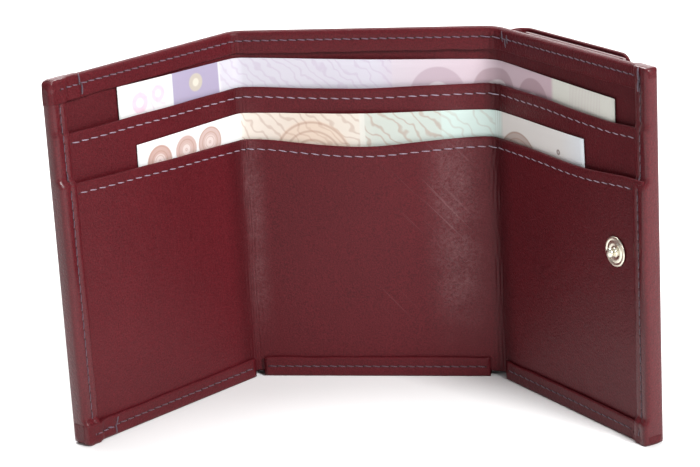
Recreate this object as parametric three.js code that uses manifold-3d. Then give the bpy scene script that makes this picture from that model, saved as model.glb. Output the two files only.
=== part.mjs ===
// A small tri-fold leather wallet, standing open on its lower edge.
//
// Millimetres, +Z up, +Y away from the side that faces the reader. The origin is the middle of the
// centre panel's lower edge. Three panels are joined by two upright folds. Each panel is a stack of
// leather sheets held in a turned edge: outer shell, lining, note divider and front pocket, with two
// paper notes between them. A coin pocket with a flap sits on the back of the right panel. One snap
// closes the wallet and one closes the coin flap.
import * as THREE from "three";
import { mergeVertices } from "three/addons/utils/BufferGeometryUtils.js";
import Module from "manifold-3d";

const wasm = await Module();
wasm.setup();

// Panels
const height = 96;
const centreWidth = 63.5; // between the two fold axes
const leftWidth = 61.6; // from the fold axis to the free edge
const rightWidth = 61.3;
const leftOpenDeg = 55; // how far the left panel stands forward of flat
const rightOpenDeg = 49.5;

// Leather and paper thicknesses, and the play between neighbours
const shellThickness = 0.8;
const liningThickness = 0.4;
const dividerThickness = 0.6;
const frontThickness = 0.7;
const hemThickness = 0.6;
const paperThickness = 0.15;
const play = 0.2;
const foldPlay = 0.2; // between a panel's sheet and the strip that bends beside it
const edgeSoftening = 0.3;

// Heights on the panels
const topHemWidth = 6;
const bottomHemWidth = 5.5;
const frontPocketTop = 67;
const dividerTop = 81;
const sheetBottom = 1.5;
const foldBottom = 0.6;

// How far the sheets belly forward between the folds, at the height of the front pocket's top
const centreBulge = { front: 2.6, frontNote: 2.0, divider: 1.3, rearNote: 0.7 };
const sideBulge = { front: 0.7, frontNote: 0.55, divider: 0.4, rearNote: 0.2 };
const frontPocketDip = 1.8; // the middle of the front pocket's edge hangs lower than its ends
const dividerDip = 0.5;
const leftEdgeRise = { front: 2.3, divider: 0.8 }; // the left pockets' edges rise towards the free edge

// How far in front of the pockets' faces the left fold turns, and the gap that the closing snap fills
const leftFoldReach = 2.0;
const snapGap = 2.4;

// Side bindings
const bindingThickness = 0.7;
const bindingFrontWidth = 5;
const bindingBackWidth = 7;
const bindingRound = 1.5;
const bindingRamp = 2.4; // height over which the binding steps down beside a pocket's edge

// Notes: length and height, how far each reaches past the left fold, and how its left end is lifted
const rearNote = { length: 160, height: 82, leftReach: 39.2, bottom: 4, leftLift: 3.8 };
const frontNote = { length: 143, height: 70, leftReach: 35.5, bottom: 4, leftLift: 0 };

// Coin pocket on the back of the right panel, measured along it from the fold's axis
const coinDepth = 3.6;
const coinWallThickness = 0.8;
const coinBottom = 3;
const coinTop = 94.5;
const coinMouthAt = 3;
const coinSeamAt = 47.5;
const coinSeamWidth = 5.2;
const coinStepWidth = 4; // over which the wall rises from its seam
const gussetThickness = 0.6;
const gussetDepth = 7;

// Coin flap
const flapThickness = 0.9;
const flapGap = 2.6;
const flapHingeAt = 1.0;
const flapSeamWidth = 4;
const flapEnd = 42;
const flapCornerRadius = 3.5;

// Snaps
const snapHeight = 48;
const closingSnapAt = 49;
const closingStudHeight = 2.6;
const coinSnapAt = 34;
const coinStudHeight = 1.7;
const studBaseRadius = 3.9;
const studHeadRadius = 1.5;
const studNeckRadius = 1.05;
const shankRadius = 1.0;
const washerRadius = 3.2;
const washerThickness = 0.4;
const socketRadius = 4.4;
const socketBoreRadius = 1.9;
const socketHeight = 1.3;
const socketWall = 0.5;
const socketFloor = 0.15;
const capRadius = 5;
const capHeight = 0.9;
const roundSegments = 20;

// The stack of a panel from its front to its back: where each layer's front face lies along y.
function panelStack() {
  const layers = [
    ["hem", hemThickness], ["front", frontThickness], ["frontNote", paperThickness],
    ["divider", dividerThickness], ["rearNote", paperThickness], ["lining", liningThickness],
    ["shell", shellThickness],
  ];
  const total = layers.reduce((sum, [, thickness]) => sum + thickness + play, -play);
  const seats = { back: total / 2 };
  let y = -total / 2;
  for (const [name, thickness] of layers) {
    seats[name] = y;
    y += thickness + play;
  }
  return seats;
}
const stack = panelStack();
const lipFront = stack.lining - play - hemThickness; // the top hem's face, in front of the lining
const innerTop = height - hemThickness - play; // the highest that a sheet reaches under the top hem

// Fold axes. The right panel closes over the left one, so its fold turns further forward.
const half = centreWidth / 2;
const leftAxisY = stack.front - leftFoldReach;
const closedPanelDepth = stack.back - stack.front;
const rightFoldReach = leftFoldReach + (closedPanelDepth + snapGap) / 2;
const rightAxisY = stack.front - rightFoldReach;
const leftOpen = THREE.MathUtils.degToRad(leftOpenDeg);
const rightOpen = THREE.MathUtils.degToRad(rightOpenDeg);
const leftFold = { side: -1, x: -half, y: leftAxisY, open: leftOpen, width: leftWidth };
const rightFold = { side: 1, x: half, y: rightAxisY, open: rightOpen, width: rightWidth };

// Materials
const leather = (color, roughness) => new THREE.MeshStandardMaterial({ color, roughness });
const shellLeather = leather(0x5e1c24, 0.42);
const pocketLeather = leather(0x66202a, 0.45);
const liningLeather = leather(0x581a22, 0.6);
const bindingLeather = leather(0x621f29, 0.4);
const rearPaper = new THREE.MeshStandardMaterial({ color: 0xe9dde6, roughness: 0.85 });
const frontPaper = new THREE.MeshStandardMaterial({ color: 0xf1ece2, roughness: 0.85 });
const snapMetal = new THREE.MeshStandardMaterial({ color: 0xd8d3c4, roughness: 0.25, metalness: 1 });

// A smooth rise and fall between shares 0 and 1, flat at both ends.
const hump = (share) => 0.5 - 0.5 * Math.cos(2 * Math.PI * share);

// How much of a sheet's belly is reached at a height.
const bellyAt = (z) => Math.pow(THREE.MathUtils.clamp(z / frontPocketTop, 0, 1.3), 1.5);

// Turns a closed geometry's faces outwards if they point in.
function facingOut(geometry) {
  const p = geometry.getAttribute("position");
  const index = geometry.getIndex();
  const corners = [new THREE.Vector3(), new THREE.Vector3(), new THREE.Vector3()];
  let volume = 0;
  for (let i = 0; i < index.count; i += 3) {
    corners.forEach((corner, k) => corner.fromBufferAttribute(p, index.getX(i + k)));
    volume += corners[0].dot(corners[1].cross(corners[2]));
  }
  if (volume < 0) index.array.reverse();
  geometry.computeVertexNormals();
  return geometry;
}

// A closed solid from sections, each a ring of points joined to the next. The two lists of triangles,
// wound like the rings, close the first section and the last.
function skin(sections, firstCap, lastCap = firstCap) {
  const count = sections[0].length;
  const last = (sections.length - 1) * count;
  const index = [];
  for (let i = 0; i + 1 < sections.length; i++) {
    for (let j = 0; j < count; j++) {
      const a = i * count + j;
      const b = i * count + ((j + 1) % count);
      index.push(a, b, b + count, a, b + count, a + count);
    }
  }
  for (const [a, b, c] of firstCap) index.push(a, c, b);
  for (const [a, b, c] of lastCap) index.push(last + a, last + b, last + c);
  const positions = sections.flat().flatMap((p) => [p.x, p.y, p.z]);
  const geometry = new THREE.BufferGeometry();
  geometry.setAttribute("position", new THREE.Float32BufferAttribute(positions, 3));
  geometry.setIndex(index);
  return facingOut(geometry);
}

// A plane outline's points, anticlockwise, without the repeated last one.
function outline(shape, divisions) {
  const points = shape.getPoints(divisions);
  if (points[0].distanceTo(points.at(-1)) < 1e-6) points.pop();
  return THREE.ShapeUtils.isClockWise(points) ? points.reverse() : points;
}

// A rectangle with softened corners.
function softRectangle(x0, y0, x1, y1, soft) {
  const s = Math.min(soft, (x1 - x0) * 0.3, (y1 - y0) * 0.3);
  const corners = [
    [x0 + s, y0], [x1 - s, y0], [x1, y0 + s], [x1, y1 - s],
    [x1 - s, y1], [x0 + s, y1], [x0, y1 - s], [x0, y0 + s],
  ];
  return new THREE.Shape(corners.map(([x, y]) => new THREE.Vector2(x, y)));
}

// The upright ring of a sheet at one station: up its front face and down its back, with softened rims.
function sheetRing(station, thickness, rows) {
  const { x, y, nx, ny, bottom, top, bulge } = station;
  const at = (depth, z) => {
    const d = depth - bulge * bellyAt(z);
    return new THREE.Vector3(x + nx * d, y + ny * d, z);
  };
  const soft = Math.min(edgeSoftening, thickness * 0.45);
  const rim = thickness * 0.3;
  const heights = [];
  for (let j = 0; j <= rows; j++) {
    heights.push(THREE.MathUtils.lerp(bottom + soft, top - soft, j / rows));
  }
  const front = heights.map((z) => at(0, z));
  const back = heights.map((z) => at(thickness, z)).reverse();
  const backRim = thickness - rim;
  return [at(rim, bottom), ...front, at(rim, top), at(backRim, top), ...back, at(backRim, bottom)];
}

// The end of a sheet: each front point paired with the back point at its height.
function sheetCap(count) {
  const triangles = [];
  for (let j = 0; j + 1 < count / 2; j++) {
    triangles.push([j, j + 1, count - 2 - j], [j, count - 2 - j, count - 1 - j]);
  }
  return triangles;
}

// A sheet from stations along its length.
function sheet(stations, thickness, rows) {
  const rings = stations.map((station) => sheetRing(station, thickness, rows));
  return skin(rings, sheetCap(rings[0].length));
}

// A sheet of one panel, flat but for its belly. belly holds the ends and the depth of that. Its upper
// edge dips in the middle, or rises towards the left end.
function panelSheet(x0, x1, y, thickness, top, belly, edge, steps) {
  const stations = [];
  for (let i = 0; i <= steps; i++) {
    const x = THREE.MathUtils.lerp(x0, x1, i / steps);
    const rise = hump((x - belly.from) / (belly.to - belly.from));
    const lift = edge.rise * ((belly.to - x) / (belly.to - belly.from)) - edge.dip * rise;
    stations.push({
      x, y, nx: 0, ny: 1, bottom: sheetBottom, top: top + lift, bulge: belly.depth * rise,
    });
  }
  return sheet(stations, thickness, belly.depth ? 5 : 1);
}

// A profile swept round an upright axis. Its points hold a radius and a height. Angle 0 lies straight
// behind the axis, and positive angles go towards +X.
function swept(profile, x, y, from, to, steps) {
  const sections = [];
  for (let i = 0; i <= steps; i++) {
    const angle = THREE.MathUtils.lerp(from, to, i / steps);
    const [s, c] = [Math.sin(angle), Math.cos(angle)];
    sections.push(profile.map((p) => new THREE.Vector3(x + p.x * s, y + p.x * c, p.y)));
  }
  return skin(sections, THREE.ShapeUtils.triangulateShape(profile, []));
}

// One layer's strip round a fold, between the two panels' sheets.
function foldStrip(fold, profile, innermost, steps = 6) {
  const margin = foldPlay / innermost;
  return swept(profile, fold.x, fold.y, fold.side * margin, fold.side * (fold.open - margin), steps);
}

// The strip of a plain sheet round a fold.
function sheetFold(fold, layer, thickness, top) {
  const inner = stack[layer] - fold.y;
  const shape = softRectangle(inner, sheetBottom, inner + thickness, top, edgeSoftening);
  return foldStrip(fold, outline(shape), inner);
}

// Turns a corner of a section: to just before the point, and round to just after it.
function softCorner(shape, x, y, [inX, inY], [outX, outY]) {
  const soft = 0.5;
  shape.lineTo(x - inX * soft, y - inY * soft);
  shape.quadraticCurveTo(x, y, x + outX * soft, y + outY * soft);
}

// The shell's section: y on the panel against height, with the edges turned over to the front. The
// lower edge lies over the front pocket and the upper one over the lining.
function shellSection() {
  const { back, shell, hem } = stack;
  const lipBottom = height - topHemWidth;
  const shape = new THREE.Shape();
  shape.moveTo(back, height / 2);
  softCorner(shape, back, height, [0, 1], [-1, 0]);
  softCorner(shape, lipFront, height, [-1, 0], [0, -1]);
  shape.lineTo(lipFront, lipBottom);
  shape.lineTo(lipFront + hemThickness, lipBottom);
  shape.lineTo(lipFront + hemThickness, height - hemThickness);
  shape.lineTo(shell, height - hemThickness);
  shape.lineTo(shell, hemThickness);
  shape.lineTo(hem + hemThickness, hemThickness);
  shape.lineTo(hem + hemThickness, bottomHemWidth);
  shape.lineTo(hem, bottomHemWidth);
  softCorner(shape, hem, 0, [0, -1], [1, 0]);
  softCorner(shape, back, 0, [1, 0], [0, 1]);
  shape.closePath();
  return shape;
}

// The shell's section at a fold, where the lower edge is cut away. It holds a radius from the axis.
function foldSection(fold) {
  const { back, shell } = stack;
  const lipBottom = height - topHemWidth;
  const shape = new THREE.Shape();
  const at = (y) => y - fold.y;
  shape.moveTo(at(back), foldBottom);
  softCorner(shape, at(back), height, [0, 1], [-1, 0]);
  softCorner(shape, at(lipFront), height, [-1, 0], [0, -1]);
  shape.lineTo(at(lipFront), lipBottom);
  shape.lineTo(at(lipFront) + hemThickness, lipBottom);
  shape.lineTo(at(lipFront) + hemThickness, height - hemThickness);
  shape.lineTo(at(shell), height - hemThickness);
  shape.lineTo(at(shell), foldBottom);
  shape.closePath();
  return outline(shape, 3);
}

// An extrusion whose section's axes are the panel's y and z, run along x from x0 to x1.
function alongX(shape, x0, x1, curveSegments) {
  const geometry = new THREE.ExtrudeGeometry(shape, {
    depth: x1 - x0, bevelEnabled: false, curveSegments,
  });
  const axes = [new THREE.Vector3(0, 1, 0), new THREE.Vector3(0, 0, 1), new THREE.Vector3(1, 0, 0)];
  geometry.applyMatrix4(new THREE.Matrix4().makeBasis(...axes));
  return geometry.translate(x0, 0, 0);
}

// An upright extrusion of a plan.
function upright(shape, z0, z1, curveSegments) {
  return new THREE.ExtrudeGeometry(shape, {
    depth: z1 - z0, bevelEnabled: false, curveSegments,
  }).translate(0, 0, z0);
}

// The plan of the strip that binds a panel's free edge, with its front face at a given y.
function bindingPlan(edge, side, front) {
  const back = stack.back + play + bindingThickness;
  const t = bindingThickness;
  const at = (fromEdge) => edge - side * fromEdge;
  const shape = new THREE.Shape();
  shape.moveTo(at(bindingFrontWidth), front);
  shape.lineTo(at(bindingRound), front);
  shape.quadraticCurveTo(at(0), front, at(0), front + bindingRound);
  shape.lineTo(at(0), back - bindingRound);
  shape.quadraticCurveTo(at(0), back, at(bindingRound), back);
  shape.lineTo(at(bindingBackWidth), back);
  shape.lineTo(at(bindingBackWidth), back - t);
  shape.lineTo(at(t + play), back - t);
  shape.lineTo(at(t), back - t - play);
  shape.lineTo(at(t), front + t + play);
  shape.lineTo(at(t + play), front + t);
  shape.lineTo(at(bindingFrontWidth), front + t);
  shape.closePath();
  return outline(shape, 5);
}

// The binding steps back where the hem and each pocket end, and stays flat between. rises lifts the
// steps to where the pockets' edges meet it.
function binding(edge, side, rises) {
  const clear = play + bindingThickness;
  const levels = [
    [0, stack.hem], [bottomHemWidth, stack.front], [frontPocketTop + rises.front, stack.divider],
    [dividerTop + rises.divider, lipFront],
  ];
  const stops = [[0, stack.hem - clear]];
  for (let i = 1; i < levels.length; i++) {
    const start = levels[i][0] + play;
    stops.push([start, levels[i - 1][1] - clear], [start + bindingRamp, levels[i][1] - clear]);
  }
  stops.push([height, lipFront - clear]);
  const plans = stops.map(([, front]) => bindingPlan(edge, side, front));
  const sections = plans.map((plan, i) => plan.map((p) => new THREE.Vector3(p.x, p.y, stops[i][0])));
  const cap = (plan) => THREE.ShapeUtils.triangulateShape(plan, []);
  return skin(sections, cap(plans[0]), cap(plans.at(-1)));
}

// A station on the path that a layer follows round a fold and out along the panel beyond it.
function besideFold(fold, layer, angle, reach) {
  const radius = stack[layer] - fold.y;
  const [s, c] = [Math.sin(fold.side * angle), Math.cos(angle)];
  return {
    x: fold.x + radius * s + fold.side * reach * c,
    y: fold.y + radius * c - reach * Math.sin(angle),
    nx: s,
    ny: c,
    bulge: sideBulge[layer] * hump(reach / fold.width),
  };
}

// The stations of a note, from its left end through both folds to its right end.
function noteStations(spec, layer) {
  const [sideSteps, arcSteps, centreSteps] = [5, 5, 10];
  const arc = (fold) => (stack[layer] - fold.y) * fold.open;
  const rightReach = spec.length - spec.leftReach - arc(leftFold) - centreWidth - arc(rightFold);
  const stations = [];
  for (let i = 0; i < sideSteps; i++) {
    stations.push(besideFold(leftFold, layer, leftOpen, spec.leftReach * (1 - i / sideSteps)));
  }
  for (let i = 0; i < arcSteps; i++) {
    stations.push(besideFold(leftFold, layer, leftOpen * (1 - i / arcSteps), 0));
  }
  for (let i = 0; i < centreSteps; i++) {
    const share = i / centreSteps;
    const bulge = centreBulge[layer] * hump(share);
    stations.push({ x: centreWidth * share - half, y: stack[layer], nx: 0, ny: 1, bulge });
  }
  for (let i = 0; i < arcSteps; i++) {
    stations.push(besideFold(rightFold, layer, rightOpen * (i / arcSteps), 0));
  }
  for (let i = 0; i <= sideSteps; i++) {
    stations.push(besideFold(rightFold, layer, rightOpen, rightReach * (i / sideSteps)));
  }
  return stations;
}

// A note as one sheet, its left end lifted a little.
function note(spec, layer) {
  const stations = noteStations(spec, layer);
  let along = 0;
  stations.forEach((station, i) => {
    if (i) along += Math.hypot(station.x - stations[i - 1].x, station.y - stations[i - 1].y);
    station.bottom = spec.bottom + spec.leftLift * Math.max(0, 1 - along / spec.length);
    station.top = station.bottom + spec.height;
  });
  return sheet(stations, paperThickness, 5);
}

// A round piece from pairs of radius and height.
function turned(pairs) {
  return new THREE.LatheGeometry(pairs.map(([r, h]) => new THREE.Vector2(r, h)), roundSegments);
}

// A quarter round from the rim at radius and height down to nothing at the axis.
function domePoints(radius, base, rise, steps = 6) {
  const points = [];
  for (let i = 0; i < steps; i++) {
    const angle = (i / steps) * (Math.PI / 2);
    points.push([radius * Math.cos(angle), base + rise * Math.sin(angle)]);
  }
  return [...points, [0, base + rise]];
}

// A snap's stud: a ringed and dished base, a necked post with a round head, and a shank below. Height 0
// is the face of the leather under the base.
function stud(post, shank) {
  const r = studBaseRadius;
  const neckTop = Math.max(post - 1.2, 0.85);
  const shoulder = neckTop + 0.4;
  return turned([
    [0, -shank], [shankRadius, -shank], [shankRadius, 0.05], [r - 0.2, 0.05], [r, 0.2],
    [r - 0.3, 0.5], [r - 0.8, 0.35], [r - 1.2, 0.35], [2.0, 0.5], [1.5, 0.6],
    [studNeckRadius, 0.8], [studNeckRadius, neckTop], [studHeadRadius - 0.15, neckTop + 0.2],
    ...domePoints(studHeadRadius, shoulder, post - shoulder),
  ]);
}

// The ring of a snap's socket, from its rim on the leather in to the top of its bore.
function socketRing() {
  const b = socketBoreRadius;
  return [
    [socketRadius - 0.2, 0.05], [socketRadius, 0.25], [socketRadius - 0.4, 0.55], [b + 1.4, 0.6],
    [b + 0.9, socketHeight - 0.2], [b + 0.6, socketHeight], [b + 0.15, socketHeight - 0.1],
    [b, socketHeight - 0.35],
  ];
}

// The closing snap's socket: a cup let into the leather, with a ring outside it.
function cupSocket() {
  const outer = socketBoreRadius + socketWall;
  const tail = shellThickness - 0.05;
  return turned([
    [0, -tail], [outer, -tail], [outer, 0.05], ...socketRing(),
    [socketBoreRadius, socketFloor - tail], [0, socketFloor - tail],
  ]);
}

// The coin snap's socket: a ring on the leather whose floor is pierced for the cap's shank.
function piercedSocket() {
  const bore = shankRadius + play / 2;
  return turned([
    [bore, 0.05], ...socketRing(), [socketBoreRadius, 0.05 + socketFloor], [bore, 0.05 + socketFloor],
    [bore, 0.05],
  ]);
}

// A ring on the far side of the leather, round a shank.
function washer() {
  const bore = shankRadius + play / 2;
  return turned([
    [bore, 0], [washerRadius, 0], [washerRadius, washerThickness * 0.6],
    [washerRadius - 0.3, washerThickness], [bore, washerThickness], [bore, 0],
  ]);
}

// The domed cap on the coin flap, with its shank.
function cap(shank) {
  return turned([
    [0, -shank], [shankRadius, -shank], [shankRadius, 0.05], [capRadius - 0.2, 0.05],
    ...domePoints(capRadius, 0.25, capHeight - 0.25),
  ]);
}

// A turned piece laid on a panel, with its height running forward or backward.
function facing(geometry, way, x, y, z) {
  return geometry.rotateX(way === "front" ? Math.PI : 0).translate(x, y, z);
}

// A geometry as a solid for boolean work.
function solidOf(geometry) {
  const bare = geometry.clone();
  bare.deleteAttribute("normal");
  bare.deleteAttribute("uv");
  const merged = mergeVertices(bare, 1e-4);
  return new wasm.Manifold(new wasm.Mesh({
    numProp: 3,
    vertProperties: merged.getAttribute("position").array,
    triVerts: new Uint32Array(merged.getIndex().array),
  }));
}

// A sheet with one round hole through it along y.
function punched(geometry, x, y, z, radius) {
  const drill = new THREE.CylinderGeometry(radius, radius, 6, roundSegments).translate(x, y, z);
  const mesh = solidOf(geometry).subtract(solidOf(drill)).getMesh();
  const cut = new THREE.BufferGeometry();
  cut.setAttribute("position", new THREE.BufferAttribute(new Float32Array(mesh.vertProperties), 3));
  cut.setIndex(new THREE.BufferAttribute(new Uint32Array(mesh.triVerts), 1));
  cut.computeVertexNormals();
  return cut;
}

// The coin wall's plan: a lap on the shell, a soft step, and the flat wall out to the mouth.
function coinWallPlan() {
  const t = coinWallThickness;
  const seat = stack.back + play;
  const face = stack.back + coinDepth;
  const middle = coinSeamAt - coinStepWidth / 2;
  const top = coinSeamAt - coinStepWidth;
  const end = coinSeamAt + coinSeamWidth;
  const shape = new THREE.Shape();
  shape.moveTo(coinMouthAt, face);
  shape.lineTo(top, face);
  shape.bezierCurveTo(middle, face, middle, seat, coinSeamAt, seat);
  shape.lineTo(end, seat);
  shape.lineTo(end, seat + t);
  shape.lineTo(coinSeamAt + t / 2, seat + t);
  shape.bezierCurveTo(middle + t, seat + t, middle + t, face + t, top + t / 2, face + t);
  shape.lineTo(coinMouthAt, face + t);
  shape.closePath();
  return shape;
}

// A strip folded inwards between the wall and the shell, closing one end of the coin pocket.
function gusset(edge, inward) {
  const near = stack.back + play;
  const far = stack.back + coinDepth - play;
  const t = gussetThickness;
  const middle = (near + far) / 2;
  const deep = edge + inward * gussetDepth;
  const bend = inward * (middle - near);
  const shape = new THREE.Shape();
  shape.moveTo(near, edge);
  shape.lineTo(near, deep - bend);
  shape.quadraticCurveTo(near, deep, middle, deep);
  shape.quadraticCurveTo(far, deep, far, deep - bend);
  shape.lineTo(far, edge);
  shape.lineTo(far - t, edge);
  shape.lineTo(far - t, deep - bend);
  shape.quadraticCurveTo(far - t, deep - inward * t, middle, deep - inward * t);
  shape.quadraticCurveTo(near + t, deep - inward * t, near + t, deep - bend);
  shape.lineTo(near + t, edge);
  shape.closePath();
  const start = flapHingeAt + flapSeamWidth + play;
  return alongX(shape, start, coinSeamAt - coinStepWidth - play, 4);
}

// The flap's outline seen from behind, with its two free corners rounded.
function flapOutline() {
  const r = flapCornerRadius;
  const start = flapHingeAt + foldPlay;
  const shape = new THREE.Shape();
  shape.moveTo(start, coinBottom);
  shape.lineTo(flapEnd - r, coinBottom);
  shape.absarc(flapEnd - r, coinBottom + r, r, -Math.PI / 2, 0);
  shape.absarc(flapEnd - r, coinTop - r, r, 0, Math.PI / 2);
  shape.lineTo(start, coinTop);
  shape.closePath();
  return shape;
}

function add(parent, name, geometry, material) {
  const mesh = new THREE.Mesh(geometry, material);
  mesh.name = name;
  parent.add(mesh);
}

// A panel's shell and sheets between x0 and x1. belly holds the ends and the depths of its bulge, edges
// the shapes of the pockets' upper edges, and holes the round hole through a named sheet.
function addPanel(parent, name, x0, x1, belly, edges, steps, holes = {}) {
  const put = (part, geometry, material) => {
    const hole = holes[part];
    add(parent, `${name}_${part}`, hole ? punched(geometry, ...hole) : geometry, material);
  };
  const bulge = (depth) => ({ from: belly.from, to: belly.to, depth });
  put("shell", alongX(shellSection(), x0, x1, 3), shellLeather);
  put("lining", panelSheet(x0, x1, stack.lining, liningThickness, innerTop, bulge(0), level, 1),
    liningLeather);
  put("divider", panelSheet(x0, x1, stack.divider, dividerThickness, dividerTop,
    bulge(belly.depths.divider), edges.divider, steps), pocketLeather);
  put("front_pocket", panelSheet(x0, x1, stack.front, frontThickness, frontPocketTop,
    bulge(belly.depths.front), edges.front, steps), pocketLeather);
}

// The strips of leather that run round one fold.
function addFold(parent, name, fold) {
  const section = foldSection(fold);
  add(parent, `${name}_fold_shell`, foldStrip(fold, section, lipFront - fold.y, 8), shellLeather);
  add(parent, `${name}_fold_lining`, sheetFold(fold, "lining", liningThickness, innerTop),
    liningLeather);
  add(parent, `${name}_fold_divider`, sheetFold(fold, "divider", dividerThickness, dividerTop),
    pocketLeather);
  add(parent, `${name}_fold_front`, sheetFold(fold, "front", frontThickness, frontPocketTop),
    pocketLeather);
}

// A side panel's group, turned about its fold. Inside it x runs from the fold's axis, and y keeps the
// centre panel's layers.
function sidePanel(parent, fold) {
  const pivot = new THREE.Group();
  pivot.position.set(fold.x, fold.y, 0);
  pivot.rotation.z = -fold.side * fold.open;
  const panel = new THREE.Group();
  panel.position.y = -fold.y;
  pivot.add(panel);
  parent.add(pivot);
  return panel;
}

const wallet = new THREE.Group();
wallet.name = "mini_wallet";
const level = { dip: 0, rise: 0 };
const levelEdges = { front: level, divider: level };
const edgeInset = bindingThickness + play;

// Centre panel, folds and notes
addPanel(
  wallet, "centre", foldPlay - half, half - foldPlay, { from: -half, to: half, depths: centreBulge },
  { front: { dip: frontPocketDip, rise: 0 }, divider: { dip: dividerDip, rise: 0 } }, 12,
);
addFold(wallet, "left", leftFold);
addFold(wallet, "right", rightFold);
add(wallet, "rear_note", note(rearNote, "rearNote"), rearPaper);
add(wallet, "front_note", note(frontNote, "frontNote"), frontPaper);

// Left panel, with the closing snap's socket in its shell where the closed right panel's stud lands
const leftPanel = sidePanel(wallet, leftFold);
const leftSheetEnd = edgeInset - leftWidth;
const socketAt = closingSnapAt - centreWidth;
const cupHole = socketBoreRadius + socketWall + play;
addPanel(
  leftPanel, "left", leftSheetEnd, -foldPlay, { from: -leftWidth, to: 0, depths: sideBulge },
  { front: { dip: 0, rise: leftEdgeRise.front }, divider: { dip: 0, rise: leftEdgeRise.divider } },
  8, { shell: [socketAt, stack.back, snapHeight, cupHole] },
);
add(leftPanel, "left_binding", binding(-leftWidth, -1, leftEdgeRise), bindingLeather);
add(leftPanel, "closing_socket", facing(cupSocket(), "back", socketAt, stack.back, snapHeight),
  snapMetal);

// Right panel, with the closing snap's stud in its front pocket
const rightPanel = sidePanel(wallet, rightFold);
const rightSheetEnd = rightWidth - edgeInset;
const shankHole = shankRadius + play / 2;
addPanel(
  rightPanel, "right", foldPlay, rightSheetEnd, { from: 0, to: rightWidth, depths: sideBulge },
  levelEdges, 8, { front_pocket: [closingSnapAt, stack.front, snapHeight, shankHole] },
);
add(rightPanel, "right_binding", binding(rightWidth, 1, { front: 0, divider: 0 }), bindingLeather);
const pocketRise = sideBulge.front * hump(closingSnapAt / rightWidth) * bellyAt(snapHeight);
const studSeat = stack.front - pocketRise - play / 2;
const washerSeat = stack.front - pocketRise + frontThickness + play / 2;
const studShank = washerSeat + washerThickness - studSeat;
add(rightPanel, "closing_stud",
  facing(stud(closingStudHeight, studShank), "front", closingSnapAt, studSeat, snapHeight), snapMetal);
add(rightPanel, "closing_stud_washer",
  facing(washer(), "back", closingSnapAt, washerSeat, snapHeight), snapMetal);

// Coin pocket on the right panel's back
const coinWallFace = stack.back + coinDepth;
const coinWallBack = coinWallFace + coinWallThickness;
const coinWall = upright(coinWallPlan(), coinBottom, coinTop, 8);
add(rightPanel, "coin_wall", punched(coinWall, coinSnapAt, coinWallFace, snapHeight, shankHole),
  pocketLeather);
add(rightPanel, "coin_gusset_top", gusset(coinTop, -1), liningLeather);
add(rightPanel, "coin_gusset_bottom", gusset(coinBottom, 1), liningLeather);

// Coin flap: sewn down beside the fold, turned round over the mouth, and snapped to the wall
const flapFace = coinWallBack + flapGap;
const flapSeat = stack.back + play;
const flapRadius = (flapFace + flapThickness - flapSeat) / 2;
const flapSeam = softRectangle(
  flapHingeAt + foldPlay, flapSeat, flapHingeAt + flapSeamWidth, flapSeat + flapThickness, 0.2,
);
add(rightPanel, "coin_flap_seam", upright(flapSeam, coinBottom, coinTop, 1), pocketLeather);
const turnMargin = foldPlay / (flapRadius - flapThickness);
const turnProfile = outline(
  softRectangle(flapRadius - flapThickness, coinBottom, flapRadius, coinTop, edgeSoftening),
);
add(rightPanel, "coin_flap_turn",
  swept(turnProfile, flapHingeAt, flapSeat + flapRadius, turnMargin - Math.PI, -turnMargin, 12),
  pocketLeather);
const flapSheet = new THREE.ExtrudeGeometry(flapOutline(), {
  depth: flapThickness, bevelEnabled: false, curveSegments: 6,
}).rotateX(Math.PI / 2).translate(0, flapFace + flapThickness, 0);
add(rightPanel, "coin_flap", punched(flapSheet, coinSnapAt, flapFace, snapHeight, shankHole),
  pocketLeather);

// Coin snap: stud on the wall, socket and cap on the flap
const wallShank = play / 2 + coinWallThickness + play / 2 + washerThickness;
add(rightPanel, "coin_stud",
  facing(stud(coinStudHeight, wallShank), "back", coinSnapAt, coinWallBack + play / 2, snapHeight),
  snapMetal);
add(rightPanel, "coin_stud_washer",
  facing(washer(), "front", coinSnapAt, coinWallFace - play / 2, snapHeight), snapMetal);
add(rightPanel, "coin_socket",
  facing(piercedSocket(), "front", coinSnapAt, flapFace - play / 2, snapHeight), snapMetal);
const flapShank = play / 2 + flapThickness + play / 2 + 0.05 + socketFloor;
add(rightPanel, "coin_cap",
  facing(cap(flapShank), "back", coinSnapAt, flapFace + flapThickness + play / 2, snapHeight),
  snapMetal);

export default wallet;
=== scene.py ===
import math

import bpy
import numpy as np
from mathutils import Matrix, Vector


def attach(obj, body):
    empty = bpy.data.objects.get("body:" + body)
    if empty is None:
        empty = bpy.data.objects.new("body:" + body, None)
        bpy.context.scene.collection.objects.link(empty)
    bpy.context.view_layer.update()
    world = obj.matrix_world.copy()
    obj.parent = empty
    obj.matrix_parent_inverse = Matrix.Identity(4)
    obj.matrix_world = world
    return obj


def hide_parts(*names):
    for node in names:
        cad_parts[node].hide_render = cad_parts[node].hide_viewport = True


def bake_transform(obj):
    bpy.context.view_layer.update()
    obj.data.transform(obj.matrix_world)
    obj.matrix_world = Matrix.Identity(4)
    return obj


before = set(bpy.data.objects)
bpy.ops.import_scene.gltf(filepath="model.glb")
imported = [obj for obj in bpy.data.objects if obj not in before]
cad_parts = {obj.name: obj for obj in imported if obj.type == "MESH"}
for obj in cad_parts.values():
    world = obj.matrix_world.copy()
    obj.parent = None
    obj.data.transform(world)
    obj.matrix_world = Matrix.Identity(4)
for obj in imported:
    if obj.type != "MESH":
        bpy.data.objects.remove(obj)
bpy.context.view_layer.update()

# Sizes in millimetres, as in the CAD source
HEIGHT = 96
HALF = 31.75
LEFT_WIDTH, RIGHT_WIDTH = 61.6, 61.3
LEFT_OPEN, RIGHT_OPEN = math.radians(55), math.radians(49.5)
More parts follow.
